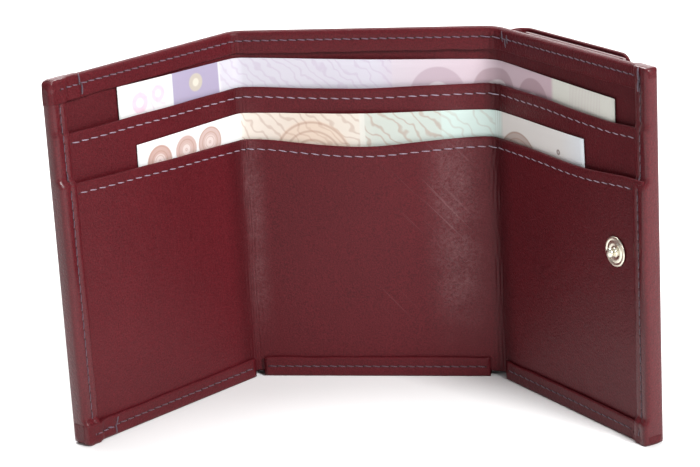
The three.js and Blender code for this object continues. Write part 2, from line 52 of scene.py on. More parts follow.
LEFT_AXIS, RIGHT_AXIS = -3.5, -6.6
ARC = 4.0  # the length that a fold takes up in the coordinate that runs along the panels
LEFT_END = -(HALF + ARC + LEFT_WIDTH)
RIGHT_END = HALF + ARC + RIGHT_WIDTH
SIDES = ((-1, "left", LEFT_END), (1, "right", RIGHT_END))
MM = 0.001

# Depths of faces in the stack of layers, from the front backwards
BINDING_FRONT, HEM_FRONT, LIP, BACK, BINDING_BACK = -2.95, -2.3, 0.1, 2.3, 2.75

# Heights and distances of seams and snaps
TOP_SEAM, LOW_SEAM = 93.4, 2.9
BINDING_SEAM = 3.0
SNAP_HEIGHT = 48
STUD_AT = 49
SOCKET_AT = 2 * HALF - STUD_AT
SOCKET_S = -(HALF + ARC + SOCKET_AT)
FREE = 1.0  # how far the layers stop short of a free edge, inside its binding

# The two pocket layers. y is the front face's depth, and centre and side say how far it bellies out.
# curl holds (rise, start, length) of the upper edge's curves on the right panel.
POCKETS = {
    "divider": {
        "y": -0.25, "thick": 0.6, "centre": 1.3, "side": 0.4, "seed": 5.1,
        "top": 81, "dip": 0.5, "rise": 0.8, "curl": ((0.4, 44, 12), (-0.8, 20, 30)),
    },
    "front": {
        "y": -1.5, "thick": 0.7, "centre": 2.6, "side": 0.7, "seed": 1.3,
        "top": 67, "dip": 1.8, "rise": 2.3, "curl": ((1.1, 36, 20),),
    },
}


# Places and meshes

def place(s, y, z):
    """Points at s along the panels, at depth y in the stack and height z, in millimetres."""
    s, y, z = np.broadcast_arrays(*(np.asarray(v, float) for v in (s, y, z)))
    left = s < 0
    a = np.abs(s)
    side = np.where(left, -1.0, 1.0)
    axis = np.where(left, LEFT_AXIS, RIGHT_AXIS)
    phi = np.clip((a - HALF) / ARC, 0, 1) * np.where(left, LEFT_OPEN, RIGHT_OPEN)
    u = np.maximum(a - HALF - ARC, 0)
    r = y - axis
    x = side * (np.minimum(a, HALF) + r * np.sin(phi) + u * np.cos(phi))
    return np.stack([x, axis + r * np.cos(phi) - u * np.sin(phi), z], -1)


def mesh_object(name, verts, faces, material):
    data = bpy.data.meshes.new(name)
    data.from_pydata((np.asarray(verts) * MM).tolist(), [], faces)
    data.validate()
    data.update()
    data.shade_smooth()
    obj = bpy.data.objects.new(name, data)
    bpy.context.scene.collection.objects.link(obj)
    data.materials.append(material)
    return obj


def ring_faces(n, k, first=True, last=True):
    """Faces of n closed rings of k points each, with the first and last ends closed if asked."""
    faces = []
    for i in range(n - 1):
        for j in range(k):
            a, b = i * k + j, i * k + (j + 1) % k
            faces.append((a, b, b + k, a + k))
    if first:
        faces.append(tuple(range(k - 1, -1, -1)))
    if last:
        faces.append(tuple((n - 1) * k + j for j in range(k)))
    return faces


def solid(name, rings, material, first=True, last=True):
    """A solid from an array of rings, n by k by 3."""
    n, k = rings.shape[:2]
    obj = mesh_object(name, rings.reshape(-1, 3), ring_faces(n, k, first, last), material)
    for p in obj.data.polygons:
        p.use_smooth = len(p.vertices) < 6
    fix_normals(obj)
    return obj


def fix_normals(obj):
    """Turns the faces outwards where the solid is inside out."""
    m = obj.data
    volume = 0.0
    for p in m.polygons:
        v = [m.vertices[i].co for i in p.vertices]
        for i in range(1, len(v) - 1):
            volume += v[0].dot(v[i].cross(v[i + 1]))
    if volume < 0:
        m.flip_normals()


def join_solids(name, parts, material):
    """One object from many small closed solids, each given as (verts, faces)."""
    verts, faces, base = [], [], 0
    for v, f in parts:
        verts.append(v)
        faces.extend(tuple(i + base for i in face) for face in f)
        base += len(v)
    return mesh_object(name, np.concatenate(verts), faces, material)


def bend(obj):
    """Bakes a piece's placement into its mesh."""
    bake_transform(obj)
    return obj


def whole(name, s_values, ring_at, material, stands_for=()):
    """A piece that runs through all three panels, as two halves that meet in the middle of the centre."""
    halves = []
    for side, tag, _ in SIDES:
        s_side = [s for s in s_values if s * side >= -1e-9]
        rings = np.stack([ring_at(s) for s in s_side])
        obj = solid(f"{name}_{tag}", rings, material, side < 0, side > 0)
        bend(obj)
        halves.append(obj)
    for half, nodes in zip(halves, stands_for):
        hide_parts(*nodes)
    return halves


def stations(lo, hi, pitch=1.5):
    """Places along the panels: close together at the folds, with one in the middle of the centre."""
    cuts = [lo, -HALF - ARC - 5, -HALF + 5, 0, HALF - 5, HALF + ARC + 5, hi]
    cuts = sorted({min(max(c, lo), hi) for c in cuts})
    values = []
    for a, b in zip(cuts, cuts[1:]):
        middle = (abs(a) + abs(b)) / 2
        gap = 0.22 if abs(middle - HALF - ARC / 2) < 7.1 and a * b > 0 else pitch
        n = max(2, round((b - a) / gap))
        values.extend(a + (b - a) * i / n for i in range(n))
    return values + [cuts[-1]]


def fold_share(s):
    """1 in the middle of a fold, and 0 away from it."""
    d = (np.abs(s) - HALF - ARC / 2) / 2.9
    return np.exp(-d * d)


def groove(z, at):
    """The dent that a row of stitches pulls into the leather at a height."""
    return np.exp(-((z - at) / 0.5) ** 2)


def wave(s, z, seed, size):
    """A smooth irregular surface with heights from about -1 to 1."""
    total = 0
    for i in range(5):
        a = 2.4 * i + seed
        kx, kz = math.cos(a) / size, math.sin(a * 1.7) / size
        total = total + np.sin(kx * s * (1 + 0.31 * i) + kz * z * (1.2 + 0.27 * i) + seed * (i + 1))
    return total / 3


def step(z, at, width=1.2):
    """A smooth rise from 0 at a place to 1 at a width beyond it."""
    t = np.clip((z - at) / width, 0, 1)
    return t * t * (3 - 2 * t)


def hump(t):
    """A smooth rise from 0 to 1 and back as t runs from 0 to 1."""
    t = np.clip(t, 0, 1)
    return 0.5 - 0.5 * np.cos(2 * np.pi * t)


def belly(s, z, centre, side):
    """How far a sheet stands forward at s and z."""
    a = np.abs(s)
    width = np.where(s < 0, LEFT_WIDTH, RIGHT_WIDTH)
    mid = centre * hump((s + HALF) / (2 * HALF)) * (a < HALF)
    out = side * hump((a - HALF - ARC) / width) * (a > HALF + ARC)
    return (mid + out) * np.clip(z / POCKETS["front"]["top"], 0, 1.3) ** 1.5


def leather_wrinkles(s, z, seed, amount=1.0):
    """Buckles across the folds and slow waves elsewhere."""
    near = fold_share(s)
    drift = 1.5 * np.sin(z / 5.3 + seed) + 1.1 * np.sin(z / 2.1 + 2 * seed)
    strength = 0.55 + 0.45 * np.sin(z / 3.7 + s / 2.3 + 3 * seed)
    crease = np.sin(s * 2 * math.pi / 1.15 + drift) * strength + 0.5 * np.sin(s * 5.1 - drift * 1.4)
    return amount * (0.12 * near * crease + 0.13 * wave(s, z, seed + 9, 11))


def edge_height(kind, s):
    """The height of a pocket's upper edge at s."""
    p = POCKETS[kind]
    a = abs(s)
    dip = p["dip"] * float(hump((s + HALF) / (2 * HALF))) * (a < HALF)
    rise = p["rise"] * max(0, a - HALF - ARC) / LEFT_WIDTH * (s < 0)
    out = max(0.0, s - HALF - ARC)
    curl = sum(height * step(out, start, length) for height, start, length in p["curl"])
    return p["top"] - dip + rise + curl + 0.12 * float(wave(s, 0, 3.3, 7))


def pocket_front(kind, s, z):
    """The depth of a pocket's front face at s and z."""
    p = POCKETS[kind]
    below = np.vectorize(lambda v: edge_height(kind, v), otypes=[float])(s) - z
    pucker = 0.11 * np.exp(-((below - 2.7) / 0.55) ** 2)
    thick_edge = -0.16 * np.exp(-((below - 0.9) / 1.3) ** 2)
    return (
        p["y"] - belly(s, z, p["centre"], p["side"]) - leather_wrinkles(s, z, p["seed"], 0.8)
        + pucker + thick_edge
    )


def lip_face(s, z):
    return LIP - 0.6 * leather_wrinkles(s, z, 7.7)


def back_face(s, z):
    return BACK + 0.9 * leather_wrinkles(s, z, 3.9)


def hem_face(s, z):
    return HEM_FRONT - 0.3 * leather_wrinkles(s, z, 6.1)


def sheet_ring(s, front, thick, z0, z1, rows):
    """The ring of a sheet at s: up its front, over a rounded edge and down its back."""
    e = thick / 2
    t = np.linspace(0, 1, rows)
    t = 1 - (1 - t) ** 1.35
    z_front = z0 + e + (z1 - z0 - 2 * e) * t
    y_front = front(s, z_front)
    over = np.linspace(0, math.pi, 6)[1:-1]
    y_top = y_front[-1] + e - e * np.cos(over)
    z_top = z1 - e + e * np.sin(over)
    z_back = z_front[::-3]
    y_back = front(s, z_back) + thick
    y_low = np.array([y_back[-1] - 0.15 * thick, y_front[0] + 0.15 * thick])
    z_low = np.array([z0, z0])
    y = np.concatenate([y_front, y_top, y_back, y_low])
    z = np.concatenate([z_front, z_top, z_back, z_low])
    return place(s, y, z)


# Stitches

def thread_parts(points, normals, pitch_gap=0.2, radius=0.15):
    """A row of stitches through points, each bridging to the next and dipping into its holes."""
    parts = []
    sides, steps = 6, 6
    for p0, p1, n0, n1 in zip(points, points[1:], normals, normals[1:]):
        d = p1 - p0
        length = np.linalg.norm(d)
        if length < 0.5:
            continue
        d = d / length
        t = np.linspace(pitch_gap / 2, 1 - pitch_gap / 2, steps)
        n = (n0 + n1) / 2
        n = n / np.linalg.norm(n)
        b = np.cross(d, n)
        slant = 0.16 * (t - 0.5) * 2
        arch = np.sin(np.pi * np.linspace(0, 1, steps))
        height = 0.13 * arch ** 0.6 - 0.12
        centre = p0 + np.outer(t * length, d) + np.outer(height, n) + np.outer(slant, b)
        size = radius * (0.72 + 0.28 * arch)
        angle = np.linspace(0, 2 * np.pi, sides, endpoint=False)
        ring = np.cos(angle)[None, :, None] * b + np.sin(angle)[None, :, None] * n
        verts = centre[:, None, :] + size[:, None, None] * ring
        parts.append((verts.reshape(-1, 3), ring_faces(steps, sides)))
    return parts


def hole_parts(points, normals, along):
    """Needle holes, as very low domes on the leather, coloured dark as painted shade for the hollow of
    each hole.
    """
    parts = []
    radius, sides = 0.38, 8
    for p, n, d in zip(points, normals, along):
        b = np.cross(d, n)
        angle = np.linspace(0, 2 * np.pi, sides, endpoint=False)
        rim = p + radius * (0.75 * np.outer(np.cos(angle), d) + 0.8 * np.outer(np.sin(angle), b))
        verts = np.vstack([rim - 0.05 * n, rim * 0.6 + p * 0.4 + 0.035 * n, [p + 0.04 * n]])
        faces = ring_faces(2, sides, False, False)
        faces += [(sides + j, sides + (j + 1) % sides, 2 * sides) for j in range(sides)]
        parts.append((verts, faces))
    return parts


def stitches(name, points, normals, material, carry, radius=0.15):
    """Threads and needle holes through points. carry is called on each of the two made objects."""
    along = np.gradient(points, axis=0)
    along /= np.linalg.norm(along, axis=1)[:, None]
    threads = join_solids(name, thread_parts(points, normals, radius=radius), material)
    holes = join_solids(name + "_holes", hole_parts(points, normals, along), HOLE_SHADE)
    carry(threads)
    carry(holes)


def stitch_row(name, s_of, z_of, y_of, count, way, material, carry):
    """Stitches at count places along a line. way is -1 on a front face and 1 on a back face."""
    t = np.linspace(0, 1, count)
    s, z = s_of(t), z_of(t)
    y = np.array([float(y_of(a, b)) for a, b in zip(s, z)])
    normals = place(s, y + way, z) - place(s, y, z)
    stitches(name, place(s, y + 0.02 * way, z), normals, material, carry, 0.16)


# Materials

class Look:
    """A material, with short calls for the nodes that feed its shader."""

    def __init__(self, name):
        self.material = bpy.data.materials.new(name)
        self.material.use_nodes = True
        self.tree = self.material.node_tree
        self.shader = self.tree.nodes["Principled BSDF"]

    def put(self, socket, value):
        """Links another node's output to a socket, or sets the socket's own value."""
        if isinstance(value, bpy.types.NodeSocket):
            self.tree.links.new(value, socket)
        else:
            socket.default_value = value

    def set(self, node, **values):
        """Sets a node's inputs, named with _ for a space, and its properties."""
        for key, value in values.items():
            socket = key.replace("_", " ")
            if socket in node.inputs:
                self.put(node.inputs[socket], value)
            else:
                setattr(node, key, value)
        return node

    def add(self, kind, **values):
        return self.set(self.tree.nodes.new(f"ShaderNode{kind}"), **values)

    def done(self, **values):
        self.set(self.shader, **values)
        return self.material

    def coords(self):
        return self.add("TexCoord").outputs["Object"]

    def axes(self, vector):
        return self.add("SeparateXYZ", Vector=vector).outputs

    def noise(self, vector, **values):
        return self.add("TexNoise", Vector=vector, **values).outputs["Fac"]

    def bump(self, height, strength, distance, **values):
        values.update(Strength=strength, Distance=distance, Height=height)
        return self.add("Bump", **values).outputs["Normal"]

    def to_range(self, value, **limits):
        return self.add("MapRange", Value=value, **limits).outputs["Result"]

    def ramp(self, source, *stops):
        """Colours between stops. A stop is a place and a colour, or a number for a grey."""
        node = self.add("ValToRGB", Fac=source)
        elements = node.color_ramp.elements
        while len(elements) < len(stops):
            elements.new(0.5)
        for element, (position, colour) in zip(elements, stops):
            element.position = position
            element.color = (*(colour if isinstance(colour, tuple) else (colour,) * 3), 1)
        return node.outputs["Color"]

    def math(self, operation, *operands):
        node = self.add("Math", operation=operation)
        for socket, operand in zip(node.inputs, operands):
            self.put(socket, operand)
        return node.outputs[0]

    def times(self, a, b):
        return self.math("MULTIPLY", a, b)

    def tint(self, base, mask, colour, strength):
        """The base colour mixed towards another where the mask is 1."""
        share = self.times(mask, strength)
        mix = self.add("Mix", data_type="RGBA", Factor=share, A=base, B=(*colour, 1))
        return mix.outputs["Result"]

    def span(self, value, low, high, soft=0.0015):
        """1 where the value lies between low and high, and 0 elsewhere."""
        return self.times(*(
            self.to_range(value, interpolation_type="SMOOTHSTEP", From_Min=start, From_Max=end)
            for start, end in ((low - soft, low + soft), (high + soft, high - soft))
        ))

    def disc(self, uv, centre, radius, soft=0.0012):
        """1 inside a circle on the paper and 0 outside, with the distance from its centre."""
        node = self.add("VectorMath", operation="DISTANCE")
        self.put(node.inputs[0], uv)
        self.put(node.inputs[1], (*centre, 0))
        distance = node.outputs["Value"]
        return self.to_range(distance, From_Min=radius + soft, From_Max=radius - soft), distance

    def stripes(self, value, per_unit):
        """Fine even lines across a value."""
        wave_height = self.math("SINE", self.times(value, per_unit * 2 * math.pi))
        return self.to_range(wave_height, From_Min=0.4, From_Max=1.0)


def fold_shade_sheen_and_scratches(look, coords, colour):
    """Painted shade at the folds, a painted pale sheen with crackle beside each, and diagonal scratches.
    """
    axes = look.axes(coords)
    x, z = axes["X"], axes["Z"]
    crackle = look.noise(coords, Scale=1150.0, Detail=5.0, Roughness=0.78, Distortion=1.0)
    pale = look.ramp(crackle, (0.42, 0.16), (0.74, 1.0))
    cloud = look.noise(coords, Scale=110.0, Detail=3.0)
    painted_light_and_wear = look.times(pale, look.ramp(cloud, (0.34, 0.35), (0.64, 1.0)))
    high = look.span(z, 0.020, 0.069, 0.018)
    # Painted shade: darker bands over the two folds.
    for low, top, strength in ((-0.0355, -0.0330, 0.45), (0.0335, 0.0375, 0.55)):
        colour = look.tint(colour, look.span(x, low, top, 0.0022), FOLD_SHADE, strength)
    # Painted sheen: pale crackled bands beside the folds.
    for low, top, soft, strength in ((0.0200, 0.0270, 0.0075, 0.52), (-0.0322, -0.0292, 0.003, 0.34)):
        band = look.times(look.span(x, low, top, soft), high)
        colour = look.tint(colour, look.times(painted_light_and_wear, band), PAINTED_SHEEN, strength)
    turned_round = look.add(
        "Mapping", vector_type="TEXTURE", Vector=coords,
        Rotation=(0.0, math.radians(-42), 0.0), Scale=(1 / 1200, 1 / 60, 1 / 26),
    ).outputs["Vector"]
    lines = look.noise(turned_round, Scale=1.0, Detail=2.0, Distortion=0.15)
    area = look.times(look.span(x, 0.004, 0.027, 0.004), high)
    scratches = look.times(look.ramp(lines, (0.63, 0.0), (0.72, 1.0)), area)
    return look.tint(colour, scratches, SCRATCHED, 0.22)


def leather(name, dark, light, roughness, grain=1.0, coat=0.05, painted_light_and_wear=False):
    look = Look(name)
    coords = look.coords()
    patches = look.noise(coords, Scale=55.0, Detail=5.0, Roughness=0.6)
    speck = look.noise(coords, Scale=2700.0, Detail=2.0, Roughness=0.6)
    even = look.to_range(patches, To_Min=0.0, To_Max=0.22)
    colour = look.ramp(look.math("MULTIPLY_ADD", speck, 1.1, even), (0.36, dark), (0.98, light))
    # Adds painted shade at the folds, a painted sheen beside them and scratches.
    if painted_light_and_wear:
        colour = fold_shade_sheen_and_scratches(look, coords, colour)
    cells = look.add("TexVoronoi", Scale=1150.0, feature="DISTANCE_TO_EDGE", Vector=coords)
    cell_edge = look.to_range(cells.outputs["Distance"], From_Max=0.25)
    fine = look.bump(cell_edge, 0.32 * grain, 0.00012)
    creases = look.noise(coords, Scale=240.0, Detail=6.0, Roughness=0.65, Distortion=0.6)
    return look.done(
        Base_Color=colour,
        Roughness=look.to_range(speck, To_Min=roughness - 0.08, To_Max=roughness + 0.12),
        Normal=look.bump(creases, 0.35, 0.0006, Normal=fine),
        Specular_IOR_Level=0.17,
        Coat_Weight=coat,
        Coat_Roughness=0.26,
    )


def thread(name, colour):
    look = Look(name)
    noise = look.noise(look.coords(), Scale=2600.0, Detail=2.0)
    return look.done(
        Base_Color=look.ramp(noise, (0.3, tuple(c * 0.62 for c in colour)), (0.7, colour)),
        Normal=look.bump(noise, 0.5, 0.00015),
        Roughness=0.55,
        Sheen_Weight=0.3,
    )


def metal(name):
    look = Look(name)
    noise = look.noise(look.coords(), Scale=900.0, Detail=3.0)
    return look.done(
        Base_Color=look.ramp(noise, (0.3, (0.74, 0.70, 0.58)), (0.7, (0.86, 0.82, 0.70))),
        Roughness=look.to_range(noise, To_Min=0.24, To_Max=0.38),
        Metallic=1.0,
    )


def matt(name, scale, low, high, **values):
    """A plain matt surface between two near colours."""
    look = Look(name)
    noise = look.noise(look.coords(), Scale=scale)
    return look.done(Base_Color=look.ramp(noise, (0.3, low), (0.7, high)), **values)


def printed_paper(name, line_colour, line_scale, seed, bands, fields, rosettes, column):
    """Paper with colours along its length, round shapes and fine lines. bands are (share of the length,
    colour), fields are (low, high, colour, strength, strength of the lines), rosettes are (centre,
    radius, colour, strength, rings) and column is (low, high, colour, strength)."""
    look = Look(name)
    uv = look.add("UVMap").outputs["UV"]
    along = look.axes(uv)["X"]
    colour = look.ramp(along, *bands)
    lines = look.add(
        "TexWave", bands_direction="DIAGONAL", Scale=line_scale, Distortion=7.0, Detail=1.5,
        Detail_Scale=1.4, Phase_Offset=seed, Vector=uv,
    )
    fine = look.ramp(lines.outputs["Fac"], (0.74, 0.0), (0.98, 1.0))
    for low, high, field, strength, lined in fields:
        area = look.span(along, low, high)
        colour = look.tint(colour, area, field, strength)
        if lined:
            colour = look.tint(colour, look.times(area, fine), line_colour, lined)
    low, high, field, strength = column
    pattern = look.times(look.span(along, low, high), look.stripes(along, 260))
    colour = look.tint(colour, pattern, field, strength)
    for centre, radius, field, strength, rings in rosettes:
        inside, distance = look.disc(uv, centre, radius)
        colour = look.tint(colour, inside, field, strength)
        core, _ = look.disc(uv, centre, radius * 0.45)
        colour = look.tint(colour, core, tuple(0.35 * c + 0.55 for c in field), strength)
        if rings:
            ringed = look.times(inside, look.stripes(distance, rings))
            colour = look.tint(colour, ringed, line_colour, 0.5)
    fibre = look.noise(uv, Scale=420.0, Detail=4.0)
    return look.done(Base_Color=colour, Normal=look.bump(fibre, 0.15, 0.0001), Roughness=0.8)


# Colours of the painted shade at the folds, the painted sheen beside them and the scratches.
FOLD_SHADE, PAINTED_SHEEN, SCRATCHED = (0.020, 0.0012, 0.0022), (0.40, 0.26, 0.27), (0.30, 0.17, 0.18)
SHELL = leather("shell_leather", (0.042, 0.0030, 0.0050), (0.112, 0.0095, 0.0145), 0.42)
# The pocket leather carries painted fold shade, a painted sheen beside the folds, and scratches.
POCKET = leather(
    "pocket_leather", (0.044, 0.0030, 0.0052), (0.116, 0.0098, 0.0150), 0.42, painted_light_and_wear=True
)
LINING = leather(
    "lining_leather", (0.040, 0.0028, 0.0046), (0.104, 0.0090, 0.0135), 0.50, grain=0.7, coat=0.03
)
BINDING = leather("binding_leather", (0.046, 0.0034, 0.0056), (0.122, 0.0110, 0.0165), 0.32, coat=0.35)
PALE_THREAD = thread("pale_thread", (0.33, 0.26, 0.33))
DARK_THREAD = thread("dark_thread", (0.14, 0.085, 0.13))
DEEP_THREAD = thread("deep_thread", (0.075, 0.042, 0.066))
# Painted shade: the needle holes' dark colour stands for the shade inside each hole.
HOLE_SHADE = matt("needle_hole_shade", 800.0, (0.012, 0.004, 0.005), (0.03, 0.009, 0.011), Roughness=0.9)
METAL = metal("snap_metal")
ROSE, BROWN = (0.66, 0.44, 0.54), (0.36, 0.14, 0.09)
REAR_PAPER = printed_paper(
    "rear_paper", (0.34, 0.20, 0.36), 30.0, 1.7,
    bands=(
        (0.0, (0.68, 0.69, 0.68)), (0.22, (0.66, 0.66, 0.67)), (0.23, (0.56, 0.55, 0.59)),
        (0.50, (0.53, 0.51, 0.56)), (0.53, (0.52, 0.46, 0.51)), (0.72, (0.54, 0.42, 0.47)),
        (0.835, (0.54, 0.40, 0.45)), (0.842, (0.66, 0.66, 0.60)), (1.0, (0.68, 0.68, 0.62)),
    ),
    fields=(
        (0.118, 0.222, (0.28, 0.23, 0.37), 0.85, 0.0),
        (0.225, 0.525, (0.46, 0.43, 0.54), 0.2, 0.22),
        (0.03, 0.10, (0.66, 0.46, 0.56), 0.12, 0.2),
    ),
    rosettes=(
        ((0.045, 0.508), 0.017, ROSE, 0.75, 0),
        ((0.085, 0.515), 0.014, ROSE, 0.7, 0),
        ((0.170, 0.515), 0.015, (0.60, 0.54, 0.26), 0.45, 0),
        ((0.60, 0.47), 0.046, (0.34, 0.24, 0.29), 0.55, 0),
        ((0.695, 0.478), 0.036, (0.33, 0.22, 0.25), 0.62, 0),
        ((0.785, 0.470), 0.043, (0.33, 0.21, 0.24), 0.62, 0),
    ),
    column=(0.885, 0.965, (0.40, 0.22, 0.29), 0.35),
)
FRONT_PAPER = printed_paper(
    "front_paper", (0.34, 0.20, 0.15), 24.0, 4.2,
    bands=(
        (0.0, (0.70, 0.71, 0.71)), (0.24, (0.70, 0.71, 0.71)), (0.27, (0.68, 0.64, 0.59)),
        (0.40, (0.64, 0.58, 0.51)), (0.49, (0.62, 0.60, 0.55)), (0.52, (0.52, 0.55, 0.51)),
        (0.63, (0.50, 0.56, 0.53)), (0.66, (0.54, 0.63, 0.60)), (0.745, (0.55, 0.64, 0.61)),
        (0.752, (0.66, 0.63, 0.60)), (0.93, (0.68, 0.66, 0.64)), (1.0, (0.68, 0.72, 0.76)),
    ),
    fields=(
        (0.262, 0.49, (0.62, 0.45, 0.34), 0.20, 0.38),
        (0.50, 0.64, (0.38, 0.42, 0.37), 0.35, 0.5),
        (0.64, 0.735, (0.43, 0.57, 0.52), 0.3, 0.25),
    ),
    rosettes=(
        ((0.052, 0.446), 0.030, BROWN, 0.7, 120),
        ((0.118, 0.452), 0.026, BROWN, 0.65, 120),
        ((0.178, 0.452), 0.029, BROWN, 0.6, 120),
        ((0.40, 0.40), 0.075, (0.60, 0.40, 0.28), 0.3, 60),
        ((0.80, 0.400), 0.060, (0.26, 0.14, 0.10), 0.55, 90),
        ((0.925, 0.449), 0.005, (0.10, 0.03, 0.02), 0.8, 0),
    ),
    column=(0.735, 0.752, (0.30, 0.32, 0.27), 0.45),
)


# Shell, lining and pockets

def shell_ring(s):
    """The shell at s: the top lip in front of the lining, the rolled top edge and the back wall."""
    z_front = np.array([90.05, 90.4, 91.2, 92.0, 92.9, 93.4, 93.9, 94.5])
    low = 0.16 * float(wave(s, 0, 2.1, 3.5))
    z_front[:2] += low, low * 0.6
    y_front = lip_face(s, z_front) + 0.10 * groove(z_front, TOP_SEAM)
    over = np.linspace(0, math.pi, 11)
    y_top = 1.2 - 1.12 * np.cos(over)
    z_top = 94.88 + 1.12 * np.sin(over)
    z_back = np.concatenate([[94.2, 93.9, 93.4, 92.9, 92.0], np.linspace(90, 4, 34), [2.9, 1.6, 0.6]])
    y_back = back_face(s, z_back) - 0.09 * (groove(z_back, TOP_SEAM) + groove(z_back, LOW_SEAM))
    from_socket = np.hypot(s - SOCKET_S, z_back - SNAP_HEIGHT)
    y_back -= 0.65 * (1 - step(from_socket, 2.2, 2.0))
    y_in = [2.1, 1.75, 1.5, 1.5, 1.35, 1.1, 0.85, 0.7, 0.7, 0.62, 0.3]
    z_in = [0.1, 0.05, 0.4, 94.4, 94.9, 95.1, 94.9, 94.4, 90.4 + low, 90.0 + low, 89.95 + low]
    y = np.concatenate([y_front, y_top, y_back, y_in])
    z = np.concatenate([z_front, z_top, z_back, z_in])
    return place(s, y, z)


panel_stations = stations(LEFT_END + FREE, RIGHT_END - FREE)
whole(
    "shell", panel_stations, shell_ring, SHELL,
    (["centre_shell", "left_shell", "left_fold_shell"], ["right_shell", "right_fold_shell"]),
)


def lining_ring(s):
    return sheet_ring(s, lambda a, z: 0.9 - 0.4 * leather_wrinkles(a, z, 2.7), 0.4, 1.5, 94.6, 24)


whole(
    "lining", panel_stations, lining_ring, LINING,
    (["centre_lining", "left_lining", "left_fold_lining"], ["right_lining", "right_fold_lining"]),
)

pocket_stations = stations(LEFT_END + FREE, RIGHT_END - FREE, pitch=1.1)
for kind, name, node in (
    ("divider", "middle_pocket", "divider"), ("front", "front_pocket", "front_pocket"),
):
    whole(
        name, pocket_stations,
        lambda s, kind=kind: sheet_ring(
            s, lambda a, z: pocket_front(kind, a, z),
            POCKETS[kind]["thick"], 1.5, edge_height(kind, s), 44,
        ),
        POCKET,
        (
            [f"centre_{node}", f"left_{node}", f"left_fold_{kind}"],
            [f"right_{node}", f"right_fold_{kind}"],
        ),
    )


# Bottom hem of each panel

def hem_ring(s):
    z_front = np.array([0.7, 1.4, 2.2, 2.9, 3.6, 4.5, 5.1])
    high = 0.12 * float(wave(s, 0, 8.2, 3.5))
    y_front = hem_face(s, z_front) + 0.09 * groove(z_front, LOW_SEAM)
    y = np.concatenate([[1.4, -1.5, -2.0, -2.2], y_front, [-2.2, -1.95, -1.75], [-1.7, -1.7, -1.5, 1.4]])
    z = np.concatenate([[0.0, 0.0, 0.1, 0.35], z_front, [5.45 + high, 5.5 + high, 5.35 + high],
                        [4.6, 0.9, 0.6, 0.6]])
    return place(s, y, z)


HEMS = (
    ("left", "left_panel", LEFT_END + FREE, -HALF - ARC - 0.6),
    ("centre", "centre_panel", -HALF + 0.8, HALF - 0.8),
    ("right", "right_panel", HALF + ARC + 0.6, RIGHT_END - FREE),
)
for tag, body, lo, hi in HEMS:
    values = np.linspace(lo, hi, 60)
    hem = solid(f"bottom_hem_{tag}", np.stack([hem_ring(s) for s in values]), SHELL)
    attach(hem, body)


# Bindings on the free edges

def binding_front(z, side):
    """The depth of a binding's front face at a height: it steps back above the hem and each pocket."""
    front, divider = (p["top"] + p["rise"] * (side < 0) for p in (POCKETS["front"], POCKETS["divider"]))
    return BINDING_FRONT + 0.95 * step(z, 5.5) + 1.05 * step(z, front) + 0.35 * step(z, divider)


def corner_cut(z, side):
    """How far a rounded corner draws the free edge in at height z."""
    top, low = (2.2, 1.4) if side < 0 else (0.9, 0.9)
    r, d = (top, z - (HEIGHT - top)) if z > SNAP_HEIGHT else (low, low - z)
    return r - math.sqrt(max(r * r - d * d, 0)) if d > 0 else 0.0


def binding_ring(z, side):
    """The plan of a binding at a height, as distances from the free edge and depths."""
    f, b = float(binding_front(z, side)), BINDING_BACK
    wob = 0.10 * float(wave(z, side, 4.4, 4))
    bulge = 0.12 * float(wave(z, 2 * side, 9.4, 6))
    inner = 5.0 + wob
    seam = BINDING_SEAM
    pts = [
        (inner, f + 0.45), (inner - 0.05, f + 0.15), (inner - 0.3, f + 0.02), (inner - 0.9, f - 0.02),
        (seam + 0.35, f + 0.04), (seam, f + 0.14), (seam - 0.35, f + 0.04), (2.1, f - 0.05 - bulge),
        (1.3, f - 0.08 - bulge), (0.8, f - 0.02 - bulge), (0.4, f + 0.2 - bulge * 0.6), (0.12, f + 0.58),
        (0.0, f + 1.1), (0.0, (f + b) / 2), (0.0, b - 0.9), (0.12, b - 0.45), (0.4, b - 0.12),
        (0.9, b), (2.6, b + 0.02), (seam + 1.4, b - 0.08), (5.2, b), (6.6, b), (6.95, b - 0.15),
        (7.0, b - 0.38), (6.0, b - 0.42), (1.3, b - 0.44), (0.6, b - 0.8), (0.55, (f + b) / 2),
        (0.6, f + 0.9), (1.3, f + 0.5), (3.0, f + 0.45),
    ]
    d, y = np.array(pts).T
    d = np.maximum(d, corner_cut(z, side) + 0.12 * d)
    end = LEFT_END if side < 0 else RIGHT_END
    return place(end - side * d, y, z)


def binding_heights():
    low = 2.4 * (1 - np.cos(np.linspace(0, math.pi / 2, 9)))
    return np.concatenate([low, np.linspace(3.2, HEIGHT - 3.2, 100), HEIGHT - low[::-1]])


for side, tag, _ in SIDES:
    rings = []
    for z in binding_heights():
        ring = binding_ring(z, side)
        end = min(z, HEIGHT - z)
        if end < 0.8:
            shrink = 1 - 0.08 * (1 - end / 0.8) ** 2
            middle = ring.mean(axis=0)
            ring[:, :2] = middle[:2] + (ring[:, :2] - middle[:2]) * shrink
        rings.append(ring)
    obj = solid(f"binding_{tag}", np.stack(rings), BINDING)
    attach(obj, f"{tag}_panel")
    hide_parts(f"{tag}_binding")


def cap_faces(top, d, proud):
    """The front and back of a corner piece at distance d from the free edge."""
    near, far = (-0.6, LIP) if top else (BINDING_FRONT, HEM_FRONT)
    inner = step(d, 5.0, 1.2)
    outer = step(d, 6.6, 1.4)
    return near + (far - near) * inner - proud, BINDING_BACK - 0.45 * outer + proud * 0.9


